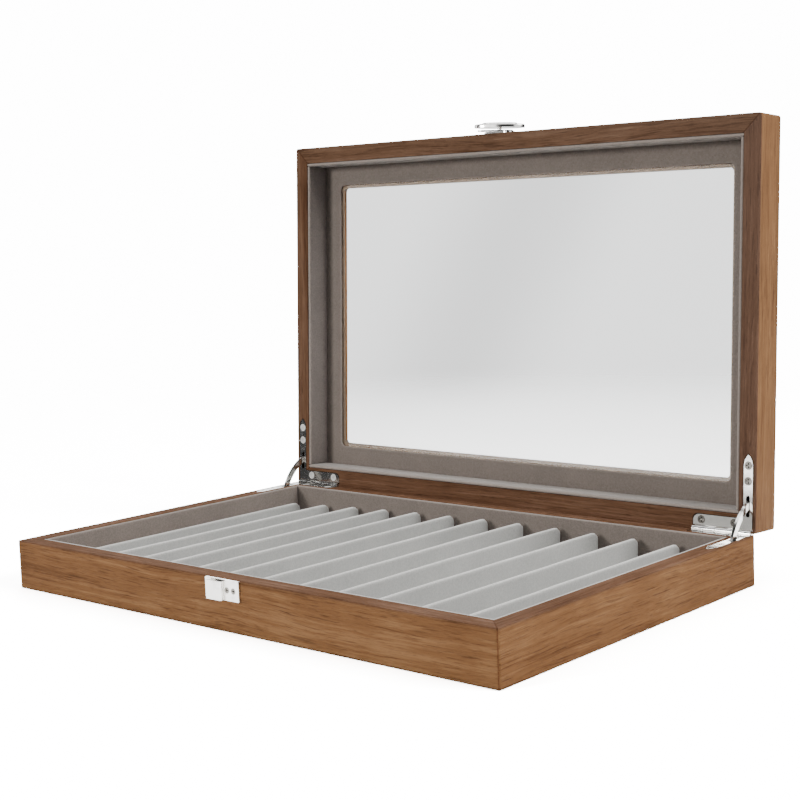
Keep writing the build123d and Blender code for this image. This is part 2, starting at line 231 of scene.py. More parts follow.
# A vector pushed off course by noise, to bend a pattern across the grain
def wandered(tree, vector, along, across, reach):
    push = noise(tree, stretched(tree, vector, (along, across, across)), detail=1.0).outputs["Color"]
    push = put(tree, "VectorMath", {0: push, 1: (0.5, 0.5, 0.5)}, operation="SUBTRACT").outputs[0]
    feeds = {0: push, 1: (0.0, reach, reach), 2: vector}
    return put(tree, "VectorMath", feeds, operation="MULTIPLY_ADD").outputs[0]


# Veneer, its grain along x: bands, streaks and fibres set the tone and a slow figure shades it
# across the grain. Dark flecks and fine pores lie along it
def makeVeneerGroup():
    tree, given, result = newGroup(
        "veneerFigure",
        [("Vector", "Vector"), ("Dark", "Color"), ("Middle", "Color"), ("Light", "Color"),
         ("Fleck", "Color"), ("Fleck depth", "Float")],
        [("Color", "Color"), ("Roughness", "Float"), ("Height", "Float")],
    )
    bent = wandered(tree, given["Vector"], *veneer["slowBend"])
    bent = wandered(tree, bent, *veneer["quickBend"])
    found = {}
    for kind in ("bands", "streaks", "fibres", "figure", "flecks", "pores"):
        along, across, detail = veneer[kind]
        source = given["Vector"] if kind == "figure" else bent
        found[kind] = noise(tree, stretched(tree, source, (along, across, across)), detail=detail).outputs[0]
    flecks = remap(tree, found["flecks"], *veneer["fleckRange"])
    pores = remap(tree, found["pores"], *veneer["poreRange"])
    tone = blended(tree, [(found[kind], share) for kind, share in veneer["toneShares"].items()])
    low = mixColours(tree, remap(tree, tone, *veneer["toMiddle"]), given["Dark"], given["Middle"])
    shade = mixColours(tree, remap(tree, tone, *veneer["toLight"]), low, given["Light"])
    sink = blended(tree, [(flecks, given["Fleck depth"]), (pores, veneer["poreDepth"])])
    tree.links.new(mixColours(tree, sink, shade, given["Fleck"]), result["Color"])
    rough = [(found["streaks"], veneer["streakRoughness"]), (pores, veneer["poreRoughness"])]
    tree.links.new(blended(tree, rough, veneer["roughness"]), result["Roughness"])
    hollows = [(flecks, veneer["fleckSink"]), (pores, veneer["poreSink"])]
    tree.links.new(blended(tree, hollows, found["fibres"]), result["Height"])
    return tree


# The seam where two boards meet at 45 degrees: dark where |x| and |y| are as far from the corner
def makeSeamGroup():
    tree, given, result = newGroup(
        "mitreSeam",
        [("Vector", "Vector"), ("Half width", "Float"), ("Half depth", "Float")],
        [("Seam", "Float")],
    )
    axes = put(tree, "SeparateXYZ", {0: given["Vector"]}).outputs
    across = past(tree, axes[0], given["Half width"])
    back = past(tree, axes[1], given["Half depth"])
    seam = remap(tree, apart(tree, across, back), *veneer["seamWidth"], 1.0, 0.0)
    tree.links.new(seam, result["Seam"])
    return tree


# Pile noises in cells per metre, their shares in tone and height, and what they are mapped to
pileLook = {
    "speck": 3400.0, "tuft": 900.0, "brushed": 42.0,
    "tone": {"tuft": 0.30, "speck": 0.50, "brushed": 0.20}, "height": {"tuft": 0.5, "speck": 0.6},
    "toRaised": (0.36, 0.64), "worn": (0.25, 0.6, 0.7, 1.0), "roughness": (0.3, 0.7, 0.82, 0.96),
    "sheenRoughness": 0.45, "specular": 0.15,
}


# Pile of flock or velvet: fine speckle, brushed patches and a painted highlight on folds and top edges
def makePileGroup():
    tree, given, result = newGroup(
        "pileFinish",
        [("Vector", "Vector"), ("Deep", "Color"), ("Raised", "Color"), ("Rubbed", "Color"),
         ("Rub", "Float")],
        [("Color", "Color"), ("Height", "Float"), ("Roughness", "Float")],
    )
    found = {
        kind: noise(tree, given["Vector"], pileLook[kind], detail).outputs[0]
        for kind, detail in (("speck", 2.0), ("tuft", 2.0), ("brushed", 3.0))
    }
    tone = blended(tree, [(found[kind], share) for kind, share in pileLook["tone"].items()])
    shade = mixColours(tree, remap(tree, tone, *pileLook["toRaised"]), given["Deep"], given["Raised"])
    # painted highlight where the mesh marks a fold, broken up by the tufts
    worn = sums(tree, "MULTIPLY", given["Rub"], remap(tree, found["tuft"], *pileLook["worn"]))
    tree.links.new(mixColours(tree, worn, shade, given["Rubbed"]), result["Color"])
    height = blended(tree, [(found[kind], share) for kind, share in pileLook["height"].items()])
    tree.links.new(height, result["Height"])
    tree.links.new(remap(tree, found["brushed"], *pileLook["roughness"]), result["Roughness"])
    return tree


# Plate noises in cells per metre, and how much roughness, height and tarnish they give
plateLook = {
    "smear": 170.0, "swell": 210.0, "hairs": (300.0, 5200.0, 5200.0), "smearRange": (0.35, 0.7),
    "smearRoughness": 0.08, "hairRoughness": 0.04, "hairHeight": 0.006, "tarnishRange": (0.52, 0.78),
    "bumpDepth": 0.000012,
}


# Plated metal: faint smears and hairlines change the gloss, and a slow swell bends reflections
def makePlateGroup():
    tree, given, result = newGroup(
        "platedWear",
        [("Vector", "Vector"), ("Gloss", "Float")],
        [("Roughness", "Float"), ("Height", "Float"), ("Tarnish", "Float")],
    )
    smear = noise(tree, given["Vector"], plateLook["smear"], 3.0).outputs[0]
    hairs = noise(tree, stretched(tree, given["Vector"], plateLook["hairs"]), detail=1.0).outputs[0]
    swell = noise(tree, given["Vector"], plateLook["swell"], 1.0).outputs[0]
    smeared = remap(tree, smear, *plateLook["smearRange"])
    rough = [(smeared, plateLook["smearRoughness"]), (hairs, plateLook["hairRoughness"])]
    tree.links.new(blended(tree, rough, given["Gloss"]), result["Roughness"])
    tree.links.new(blended(tree, [(hairs, plateLook["hairHeight"])], swell), result["Height"])
    tree.links.new(remap(tree, smear, *plateLook["tarnishRange"]), result["Tarnish"])
    return tree


veneerGroup = makeVeneerGroup()
seamGroup = makeSeamGroup()
pileGroup = makePileGroup()
plateGroup = makePlateGroup()
print("shader groups built")

# The case's outer half sizes, and the heights of the rims and the lid with the lid shut
frontWallLow, frontWallHigh = restBox("base_front_wall")
halfWidth, baseRim = float(frontWallHigh[0]), float(frontWallHigh[2])
halfDepth = -float(frontWallLow[1])
lidRim, lidTop = (float(corner[2]) for corner in shutBox("lid_front_wall"))
railLow = float(shutBox("lid_front_rail")[0][2])


# Object coordinates, and for a lid board the same point with the lid shut
def shutVector(tree, onLid):
    vector = put(tree, "TexCoord").outputs["Object"]
    if not onLid:
        return vector
    pin = Vector(pinPoint)
    turn = Matrix.Rotation(lidAngle, 3, "X")
    feeds = {"Vector": vector, "Location": pin - turn @ pin, "Rotation": (lidAngle, 0, 0)}
    return put(tree, "Mapping", feeds, vector_type="POINT").outputs[0]


# A colour times one of the veneer's tints, where the mask is 1
def tinted(tree, colour, mask, tint):
    return mixColours(tree, mask, colour, mixColours(tree, 1.0, colour, veneer[tint], "MULTIPLY"))


# A wall's rim is darker and greyer, most on its face and less below it; on the base this is a darker stain
# plus a painted grey-purple reflection. Painted shade darkens the recesses in the rim and the base's bottom
# edge
def wallEdges(tree, vector, colour, seam, onLid, rimTint):
    x, y, height = put(tree, "SeparateXYZ", {0: vector}).outputs
    fromRim = apart(tree, height, lidRim if onLid else baseRim)
    fromFar = apart(tree, height, lidTop if onLid else 0.0)
    # the rim's tint, on the base a darker stain plus a painted grey-purple reflection
    rimTone = remap(tree, fromRim, *veneer["rimStain"], 1.0, 0.0)
    fade = remap(tree, fromRim, *veneer["rimFade"], veneer["rimFadeShare"], 0.0)
    rimTone = sums(tree, "MAXIMUM", rimTone, fade)
    outward = sums(tree, "MAXIMUM", past(tree, x, halfWidth), past(tree, y, halfDepth))
    # painted shade inside the recesses cut into the rim
    recessShade = remap(tree, sums(tree, "MULTIPLY", outward, -1.0), *veneer["recessInside"])
    recessShade = sums(tree, "MULTIPLY", recessShade, remap(tree, fromRim, *veneer["recessUnder"]))
    recessShade = sums(tree, "MULTIPLY", recessShade, remap(tree, fromFar, *veneer["recessOver"]))
    for mask, tint in ((rimTone, rimTint), (seam, "seamTint"), (recessShade, "recessTint")):
        colour = tinted(tree, colour, mask, tint)
    # painted shade along the base's bottom edge, next to the floor
    if not onLid:
        colour = tinted(tree, colour, remap(tree, fromFar, *veneer["farStain"], 1.0, 0.0), "farTint")
    return colour, remap(tree, rimTone, 0.0, 1.0, veneer["coat"], veneer["rimCoat"])


railLook = {
    "windowMargin": 0.026, "jamb": (0.120, 0.098, 0.078, 1), "rebate": (0.150, 0.114, 0.084, 1),
    # the near-black colour on the next line is painted shade, for the rail's lower face and the cut edge by
    # the lid's top
    "under": (0.018, 0.012, 0.009, 1), "jambShare": 0.90, "rebateShare": 0.9, "topShare": 0.7,
    # distances between which each goes from full to none: from the cut edge, from the lid's top
    # and up from the rail's lower face
    "jambWidth": (0.0001, 0.0005), "topWidth": (0.0002, 0.0009),
    "rebateHeight": (0.0020, 0.0023), "underHeight": (0.0002, 0.0009),
}


# A rail's cut edge round the window is olive-brown and its rebate a paler brown. Painted shade turns its
# lower face nearly black and darkens the cut edge next to the lid's top. The cut edge and the rebate have no
# lacquer
def railEdges(tree, vector, colour, seam):
    x, y, height = put(tree, "SeparateXYZ", {0: vector}).outputs
    colour = tinted(tree, colour, seam, "seamTint")
    margin = railLook["windowMargin"]
    fromEdge = sums(tree, "MAXIMUM", past(tree, x, halfWidth - margin), past(tree, y, halfDepth - margin))
    fromTop = apart(tree, height, lidTop)
    above = sums(tree, "SUBTRACT", height, railLow)
    jamb = remap(tree, fromEdge, *railLook["jambWidth"], 1.0, 0.0)
    cut = mixColours(tree, railLook["jambShare"], colour, railLook["jamb"])
    # painted shade on the cut edge next to the lid's top
    top = remap(tree, fromTop, *railLook["topWidth"], railLook["topShare"], 0.0)
    colour = mixColours(tree, jamb, colour, mixColours(tree, top, cut, railLook["under"]))
    rebate = remap(tree, above, *railLook["rebateHeight"], railLook["rebateShare"], 0.0)
    colour = mixColours(tree, rebate, colour, railLook["rebate"])
    # painted shade: the rail's lower face is made nearly black
    under = remap(tree, above, *railLook["underHeight"], 1.0, 0.0)
    colour = mixColours(tree, under, colour, railLook["under"])
    bare = sums(tree, "MAXIMUM", jamb, rebate)
    return colour, remap(tree, bare, 0.0, railLook["rebateShare"], veneer["coat"], 0.0)


# A board's grain runs along x, or along y on the sides, and its mitres are dark lines
def veneerMaterial(name, kind, side="", bleached=0.0):
    material, tree, shader = newMaterial(name)
    onLid = kind in ("lid", "rail")
    vector = shutVector(tree, onLid)
    grain = vector
    if side in ("left", "right"):
        grain = put(tree, "Mapping", {"Vector": grain, "Rotation": (0, 0, -math.pi / 2)}).outputs[0]
    seed = veneer["seeds"][kind] + (boardSides.index(side) if side else 0)
    shift = [seed * share for share in veneer["seedShift"]]
    grain = put(tree, "Mapping", {"Vector": grain, "Location": shift}).outputs[0]
    wood = useGroup(tree, veneerGroup, {
        "Vector": grain, "Dark": veneer["dark"], "Middle": veneer["middle"], "Light": veneer["light"],
        "Fleck": veneer["fleck"], "Fleck depth": veneer["fleckDepth"],
    })
    feeds = {"Vector": vector, "Half width": halfWidth, "Half depth": halfDepth}
    seam = useGroup(tree, seamGroup, feeds)["Seam"]
    # painted light: the lid's right wall is mixed a little towards a pale tone
    colour = mixColours(tree, bleached, wood["Color"], veneer["bleach"])
    if kind == "rail":
        colour, coat = railEdges(tree, vector, colour, seam)
    else:
        lidTint = "lidFrontRimTint" if side == "front" else "lidRimTint"
        colour, coat = wallEdges(tree, vector, colour, seam, onLid, lidTint if onLid else "baseRimTint")
    tree.links.new(colour, shader.inputs["Base Color"])
    tree.links.new(wood["Roughness"], shader.inputs["Roughness"])
    bumpInto(tree, shader, wood["Height"], veneer["grainDepth"])
    shader.inputs["Specular IOR Level"].default_value = 0.0
    tree.links.new(coat, shader.inputs["Coat Weight"])
    shader.inputs["Coat Roughness"].default_value = veneer["coatRoughness"]
    return material


lining = {
    # the last colour on the next line is a painted highlight for folds and rims
    "deep": (0.170, 0.142, 0.124, 1), "raised": (0.238, 0.201, 0.177, 1), "rubbed": (0.36, 0.305, 0.27, 1),
    "sheen": 0.25, "pileDepth": 0.00012,
    # on the lid's left board the pile is a darker copy, painted shade from the lid's right wall; two of the
    # base's boards have stronger painted highlights on their folds
    "brushedDeep": (0.115, 0.097, 0.088, 1), "brushedRaised": (0.165, 0.140, 0.127, 1),
    "paleFold": (0.66, 0.65, 0.62, 1),
    "roll": 0.0010, "inset": 0.00004, "lengthStep": 0.0025, "heightStep": 0.0020,
    # how much the thickness wavers, how deep and how far down the rim does, and the painted highlight along
    # the rim
    "softness": 0.06, "edgeWaver": 0.00012, "waverReach": 0.004, "rubReach": 0.0011, "rubPower": 1.3,
}
velvet = {
    # the last colour on the next line is a painted highlight for the fins' tops
    "deep": (0.385, 0.387, 0.375, 1), "raised": (0.500, 0.500, 0.483, 1), "rubbed": (0.80, 0.79, 0.76, 1),
    "sheen": 0.30, "pileDepth": 0.00014,
}


# Pile material; a mesh attribute marks folds and top edges where a painted highlight lightens the pile
def pileMaterial(name, look, **changes):
    look = {**look, **changes}
    material, tree, shader = newMaterial(name)
    vector = put(tree, "TexCoord").outputs["Object"]
    rub = put(tree, "Attribute", attribute_name="rub").outputs["Fac"]
    colours = {"Deep": look["deep"], "Raised": look["raised"], "Rubbed": look["rubbed"]}
    pile = useGroup(tree, pileGroup, {"Vector": vector, "Rub": rub, **colours})
    tree.links.new(pile["Color"], shader.inputs["Base Color"])
    tree.links.new(pile["Roughness"], shader.inputs["Roughness"])
    bumpInto(tree, shader, pile["Height"], look["pileDepth"])
    shader.inputs["Sheen Weight"].default_value = look["sheen"]
    shader.inputs["Sheen Roughness"].default_value = pileLook["sheenRoughness"]
    shader.inputs["Specular IOR Level"].default_value = pileLook["specular"]
    return material


# Plated finishes. On the right hinge and the latch the screw heads are darker than the plate. The
# left hinge's plate reflects the dark part of the floor, and its screw heads are dull and paler
metals = {
    "nickelPlate": {"colour": (0.76, 0.75, 0.725, 1), "tarnished": (0.50, 0.485, 0.46, 1), "gloss": 0.09},
    "screwNickel": {"colour": (0.19, 0.18, 0.165, 1), "tarnished": (0.10, 0.094, 0.086, 1), "gloss": 0.18},
    "satinNickel": {"colour": (0.80, 0.79, 0.765, 1), "tarnished": (0.62, 0.61, 0.585, 1), "gloss": 0.34},
}


def metalMaterial(name):
    look = metals[name]
    material, tree, shader = newMaterial(name)
    vector = put(tree, "TexCoord").outputs["Object"]
    plate = useGroup(tree, plateGroup, {"Vector": vector, "Gloss": look["gloss"]})
    shade = mixColours(tree, plate["Tarnish"], look["colour"], look["tarnished"])
    tree.links.new(shade, shader.inputs["Base Color"])
    tree.links.new(plate["Roughness"], shader.inputs["Roughness"])
    shader.inputs["Metallic"].default_value = 1.0
    bumpInto(tree, shader, plate["Height"], plateLook["bumpDepth"])
    return material


glassLook = {
    "clean": (0.93, 0.94, 0.94, 1), "dusty": (0.84, 0.84, 0.83, 1), "index": 1.45,
    "forLamps": (0.90, 0.91, 0.91, 1),  # what the pane lets through of the lamps' light
    # noises in cells per metre, what they are mapped to, and the roughness that dust gives
    "film": 26.0, "filmRange": (0.4, 0.7, 0.0, 0.05), "specks": 700.0, "speckRange": (0.62, 0.75),
    "speckShare": 0.10, "roughness": (0.0, 0.15, 0.0, 0.03),
}


# Clear glass with a faint film of dust. It lets the lamps' light through to what lies behind
def glassMaterial():
    material, tree, shader = newMaterial("windowGlass")
    vector = put(tree, "TexCoord").outputs["Object"]
    film = noise(tree, vector, glassLook["film"], 3.0).outputs[0]
    film = remap(tree, film, *glassLook["filmRange"])
    specks = noise(tree, vector, glassLook["specks"], 2.0).outputs[0]
    specks = remap(tree, specks, *glassLook["speckRange"])
    dust = blended(tree, [(specks, glassLook["speckShare"])], film)
    roughness = remap(tree, dust, *glassLook["roughness"], smooth=False)
    tree.links.new(roughness, shader.inputs["Roughness"])
    colour = mixColours(tree, dust, glassLook["clean"], glassLook["dusty"])
    tree.links.new(colour, shader.inputs["Base Color"])
    shader.inputs["Transmission Weight"].default_value = 1.0
    shader.inputs["IOR"].default_value = glassLook["index"]
    clear = put(tree, "BsdfTransparent", {"Color": glassLook["forLamps"]})
    shadow = put(tree, "LightPath").outputs["Is Shadow Ray"]
    choice = put(tree, "MixShader", {0: shadow, 1: shader.outputs[0], 2: clear.outputs[0]})
    tree.links.new(choice.outputs[0], tree.nodes["Material Output"].inputs["Surface"])
    return material


liningPile = pileMaterial("taupeLining", lining)
# a darker copy of the lining: painted shade on the lid's left board
shadedPile = pileMaterial(
    "brushedLining", lining, deep=lining["brushedDeep"], raised=lining["brushedRaised"],
)
# a stronger painted highlight on the folds of the base's front and right boards
strongHighlightPile = pileMaterial("paleFoldLining", lining, rubbed=lining["paleFold"])
velvetPile = pileMaterial("greyVelvet", velvet)
nickel, screwNickel, satinNickel = (metalMaterial(name) for name in metals)
windowGlass = glassMaterial()
print("finishes made")


# Every CAD node that stays gets its finish
def dress(name, material):
    for materialSlot in frame["nodes"][name].material_slots:
        materialSlot.material = material


boardSides = ("front", "back", "left", "right")
for side in boardSides:
    # only the lid's right wall gets the painted light
    bleached = veneer["bleached"] if side == "right" else 0.0
    dress(f"base_{side}_wall", veneerMaterial(f"baseVeneer_{side}", "base", side))
    dress(f"lid_{side}_wall", veneerMaterial(f"lidVeneer_{side}", "lid", side, bleached))
    dress(f"lid_{side}_rail", veneerMaterial(f"railVeneer_{side}", "rail", side))
dress("base_bottom_panel", veneerMaterial("bottomVeneer", "bottom"))
dress("tray_floor", velvetPile)
for name in frame["nodes"]:
    if "hinge" in name or "stay" in name or "latch" in name:
        screws = satinNickel if "left" in name else screwNickel
        dress(name, screws if "screws" in name else nickel)


# A grid of points (rows, columns, xyz) as one closed skin; faces are turned to point outwards
def skinPiece(
    name, points, loopRows, loopColumns, material, body, rub=None, caps=False, smooth=True,
):
    rows, columns = points.shape[:2]
    numbers = np.arange(rows * columns).reshape(rows, columns)
    nextRow = np.roll(numbers, -1, axis=0) if loopRows else numbers[1:]
    thisRow = numbers if loopRows else numbers[:-1]
    if loopColumns:
        quads = np.stack([thisRow, np.roll(thisRow, -1, 1), np.roll(nextRow, -1, 1), nextRow], axis=-1)
    else:
        quads = np.stack([thisRow[:, :-1], thisRow[:, 1:], nextRow[:, 1:], nextRow[:, :-1]], axis=-1)
    faces = quads.reshape(-1, 4).tolist()
    if caps:
        faces += [numbers[0][::-1].tolist(), numbers[-1].tolist()]
    mesh = bpy.data.meshes.new(name)
    mesh.from_pydata(points.reshape(-1, 3).tolist(), [], faces)
    if rub is not None:
        layer = mesh.attributes.new("rub", "FLOAT", "POINT")
        layer.data.foreach_set("value", np.ascontiguousarray(rub.reshape(-1), np.float32))
    closeSkin(mesh)
    mesh.polygons.foreach_set("use_smooth", [smooth] * len(mesh.polygons))
    mesh.materials.append(material)
    piece = bpy.data.objects.new(name, mesh)
    bpy.context.scene.collection.objects.link(piece)
    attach(piece, body)
    return piece


# Merges the points that meet at seams and poles, and points the faces outwards
def closeSkin(mesh, nearest=1e-6):
    work = bmesh.new()
    work.from_mesh(mesh)
    bmesh.ops.remove_doubles(work, verts=work.verts, dist=nearest)
    bmesh.ops.recalc_face_normals(work, faces=work.faces)
    work.to_mesh(mesh)
    work.free()


# Steps along an edge, close together near both ends where the cloth rolls over
def edgeSteps(length, roll, spacing, rounds=6):
    turn = roll * (1 - np.cos(np.linspace(0, math.pi / 2, rounds)))
    middle = np.linspace(roll, length - roll, max(3, int(round((length - 2 * roll) / spacing)) + 1))
    return np.concatenate([turn[:-1], middle, length - turn[::-1][1:]])


# Share of the full thickness at a distance from an edge: a quarter circle as deep as the roll
def rolled(distance, roll):
    inward = 1 - np.clip(distance / roll, 0, 1)
    return np.sqrt(np.clip(1 - inward**2, 0, 1))


paneLook = {"broken": 0.00015, "clear": 0.00006}


# The pane, a hair smaller than the rebate it lies in: four rings of corners up its thickness, of
# which the outer two are pulled in so that the edges are just broken
def windowPane():
    low, high = shutBox("lid_glass")
    low[:2] += paneLook["clear"]
    high -= paneLook["clear"]
    centre, half = (low + high) / 2, (high - low) / 2
    broken = paneLook["broken"]
    inset = np.array([broken, 0.0, 0.0, broken])[:, None]
    x = centre[0] + np.array([-1, 1, 1, -1]) * (half[0] - inset)
    y = centre[1] + np.array([-1, -1, 1, 1]) * (half[1] - inset)
    z = np.array([low[2], low[2] + broken, high[2] - broken, high[2]])[:, None]
    points = np.stack([x, y, np.broadcast_to(z, x.shape)], axis=-1)
    pane = skinPiece(
        "window_pane", openLid(points), False, True, windowGlass, "lid",
        caps=True, smooth=False,
    )
    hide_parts("lid_glass")


windowPane()


# Smooth unevenness of cloth: a sum of sines along two directions, from -1 to 1
def waver(along, up, seed):
    return (
        0.5 * np.sin(37 * along + 1.7 * seed) + 0.3 * np.sin(91 * along + 63 * up + 2.9 * seed)
        + 0.2 * np.sin(173 * along - 120 * up + 0.6 * seed)
    )


# A cloth-covered board: two faces over (length, height) that meet in rolled edges all round. Their
# distance from the middle is half the thickness times the rolled share, and the rim wavers
def clothBoard(node, alongAxis, onLid, seed, pile):
    low, high = shutBox(node) if onLid else restBox(node)
    acrossAxis = 1 - alongAxis
    thickness = high[acrossAxis] - low[acrossAxis]
    roll = min(lining["roll"], thickness / 2)
    length = high[alongAxis] - low[alongAxis]
    height = high[2] - low[2]
    s = edgeSteps(length, roll, lining["lengthStep"])
    t = edgeSteps(height, roll, lining["heightStep"])
    t = np.concatenate([t, t[::-1][1:]])
    face = np.concatenate([np.ones(len(t) // 2 + 1), -np.ones(len(t) // 2)])
    along, up = np.meshgrid(s, t, indexing="ij")
    full = rolled(np.minimum(along, length - along), roll) * rolled(np.minimum(up, height - up), roll)
    soft = np.minimum(1 + lining["softness"] * waver(along, up, seed), 1)
    middle = (low[acrossAxis] + high[acrossAxis]) / 2
    fromRim = up if onLid else height - up
    dip = lining["edgeWaver"] * (0.5 + 0.5 * waver(along, 0 * up, seed + 5))
    dip = dip * np.clip(1 - fromRim / lining["waverReach"], 0, 1)
    points = np.zeros(along.shape + (3,))
    points[..., alongAxis] = low[alongAxis] + along
    points[..., acrossAxis] = middle + face[None, :] * full * (thickness / 2 - lining["inset"]) * soft
    points[..., 2] = low[2] + up + (dip if onLid else -dip)
    # painted highlight along the board's rim
    rub = np.clip(1 - fromRim / lining["rubReach"], 0, 1) ** lining["rubPower"]
    piece = skinPiece(
        node + "_cloth", openLid(points) if onLid else points, False, False, pile,
        "lid" if onLid else "base", rub,
    )
    return piece


otherPiles = {
    "base_front_lining": strongHighlightPile, "base_right_lining": strongHighlightPile, "lid_left_lining": shadedPile,
}
for part, firstSeed in (("base", 0), ("lid", 10)):
    for number, side in enumerate(boardSides):
        node = f"{part}_{side}_lining"
        alongAxis = 1 if side in ("left", "right") else 0
        pile = otherPiles.get(node, liningPile)
        board = clothBoard(node, alongAxis, part == "lid", firstSeed + number, pile)
        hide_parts(node)
print("lining boards covered")

lip = {
    "fromHinge": 0.0006, "front": 0.0016, "back": 0.00002, "sink": 0.0003, "rise": 0.00036,
    "round": 0.00005, "roundSteps": 5, "endRoll": 0.0004, "step": 0.004,
}


# The lip of veneer on the base's back edge, between the hinges, that closes the gap under the
# open lid: a strip of rectangular section whose two upper edges are rounded, carried along x
def backLip():
    hingeX = restBox("right_hinge_base_leaf")[0][0]
    reach = float(hingeX) - lip["fromHinge"]
    x = edgeSteps(2 * reach, lip["endRoll"], lip["step"]) - reach
    turn = np.linspace(0, math.pi / 2, lip["roundSteps"])
    halfLip = (lip["front"] - lip["back"]) / 2
    middleY = halfDepth - (lip["front"] + lip["back"]) / 2
    edgeY = halfLip - lip["round"] * (1 - np.cos(turn))
    edgeZ = lip["rise"] - lip["round"] * (1 - np.sin(turn))
    sectionY = np.concatenate([[halfLip], edgeY, -edgeY[::-1], [-halfLip]])
    sectionZ = np.concatenate([[-lip["sink"]], edgeZ, edgeZ[::-1], [-lip["sink"]]])
    ends = rolled(np.minimum(x + reach, reach - x), lip["endRoll"])[:, None]
    y, z = middleY + ends * sectionY, baseRim + ends * sectionZ
    points = np.stack([np.broadcast_to(x[:, None], y.shape), y, z], axis=-1)
    material = bpy.data.materials["baseVeneer_back"]
    skinPiece("base_back_lip", points, False, True, material, "base")


backLip()

panel = {
    "opening": 0.024, "cornerRadius": 0.0035, "outerRadius": 0.0004, "innerRoll": 0.00048,
    "step": 0.0014, "sideSteps": 90, "cornerSteps": 10, "inset": 0.00002,
    "bow": 0.08, "bowSeed": 3, "rub": 0.3, "rubReach": 0.0009,
}


# Points round a rectangle with rounded corners, the same number on every side and corner
def roundedLoop(halfX, halfY, radius):
    corners = [(1, -1, -90), (1, 1, 0), (-1, 1, 90), (-1, -1, 180)]
    arcs = []
    for signX, signY, start in corners:
        angles = np.radians(start + np.linspace(0, 90, panel["cornerSteps"] + 1))
        centre = np.array([signX * (halfX - radius), signY * (halfY - radius)])
        arcs.append(centre + radius * np.stack([np.cos(angles), np.sin(angles)], axis=-1))
    spread = np.linspace(0, 1, panel["sideSteps"] + 1)[1:-1, None]
    rounds = []
    for number, arc in enumerate(arcs):
        after = arcs[(number + 1) % len(arcs)][0]
        rounds += [arc, arc[-1] + (after - arc[-1]) * spread]
    return np.concatenate(rounds)


# The cloth-covered frame round the window: each row runs from the outer edge over the face
# to the opening, rolls over it and comes back behind
def windowPanel():
    low, high = shutBox("lid_panel_lining")
    thickness = high[2] - low[2]
    middle = (low[2] + high[2]) / 2
    openX, openY = halfWidth - panel["opening"], halfDepth - panel["opening"]
    outer = roundedLoop(high[0], high[1], panel["outerRadius"])
    inner = roundedLoop(openX, openY, panel["cornerRadius"])
    reach = np.abs(openX - high[0])
    s = edgeSteps(reach, panel["innerRoll"], panel["step"])
    s = np.concatenate([s, s[::-1][1:]])
    face = np.concatenate([-np.ones(len(s) // 2 + 1), np.ones(len(s) // 2)])
    share = (s / reach)[None, :, None]
    flat = outer[:, None, :] * (1 - share) + inner[:, None, :] * share
    full = rolled(np.minimum(s, reach - s), panel["innerRoll"])[None, :]
    bow = 1 - panel["bow"] * (0.5 + 0.5 * waver(flat[..., 0], flat[..., 1], panel["bowSeed"]))
    z = middle + face[None, :] * full * (thickness / 2 - panel["inset"]) * bow
    points = np.concatenate([flat, z[..., None]], axis=-1)
    # painted highlight on the fold round the window opening
    fold = np.clip(1 - (reach - s) / panel["rubReach"], 0, 1) ** lining["rubPower"]
    rub = panel["rub"] * np.broadcast_to(fold, z.shape)
    piece = skinPiece(
        "lid_panel_cloth", openLid(points), True, False, liningPile, "lid", rub,
    )
    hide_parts("lid_panel_lining")


windowPanel()
print("window panel covered")

fin = {
    "topCorner": 0.0050, "flare": 0.00030, "flareHeight": 0.0016, "lean": 0.00035, "tailCurl": 0.0005,
    "tailPower": 6, "cap": 0.0009, "sag": 0.00015, "sagWave": 23, "deepest": 0.85, "inset": 0.0001,
    "step": 0.0022, "wallSteps": 12, "capSteps": 10, "rubReach": 0.0012,
}


# One velvet fin of the tray: the section is a thin wall that flares at the floor and ends in a
# half-round fold; its top drops round a quarter circle at both ends and the wall thins to nothing there
def velvetFin(node, seed, leaning):
    low, high = restBox(node)
    centre = (low + high) / 2
    half = (high[0] - low[0]) / 2 - fin["inset"]
    reach = (high[1] - low[1]) / 2
    tall = high[2] - low[2]
    y = edgeSteps(2 * reach, half, fin["step"]) - reach
    fromEnd = reach - np.abs(y)
    corner = fin["topCorner"]
    inCorner = np.clip(corner - fromEnd, 0, None)
    drop = corner - np.sqrt(np.clip(corner**2 - inCorner**2, 0, None))
    sag = fin["sag"] * (0.5 + 0.5 * np.sin(fin["sagWave"] * y + seed))
    top = (tall - np.minimum(drop, fin["deepest"] * tall) - sag)[:, None]
    side = np.linspace(0, 1, fin["wallSteps"] + 1)[:-1]
    bend = np.linspace(0, math.pi, fin["capSteps"] + 1)
    cap = np.minimum(half, fin["cap"])
    wallZ = side[None, :] * (top - cap)
    capZ = (top - cap) + cap * np.sin(bend)[None, :]
    wallX = half + fin["flare"] * np.exp(-wallZ / fin["flareHeight"])
    capX = np.broadcast_to(half * np.cos(bend), capZ.shape)
    x = np.concatenate([wallX, capX, -wallX[:, ::-1]], axis=1) * rolled(fromEnd, half)[:, None]
    z = np.concatenate([wallZ, capZ, wallZ[:, ::-1]], axis=1)
    along = y[:, None] + 0 * z
    rise = z / tall
    wander = leaning * fin["lean"] * waver(along, z, seed) * rise
    wander += leaning * fin["tailCurl"] * np.clip(along / reach, 0, 1) ** fin["tailPower"] * rise
    points = np.stack([centre[0] + x + wander, centre[1] + along, low[2] + z], axis=-1)
    # painted highlight along the fin's rounded top
    rub = np.clip((z - (top - fin["rubReach"])) / fin["rubReach"], 0, 1)
    piece = skinPiece(node + "_velvet", points, False, True, velvetPile, "base", rub)
    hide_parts(node)


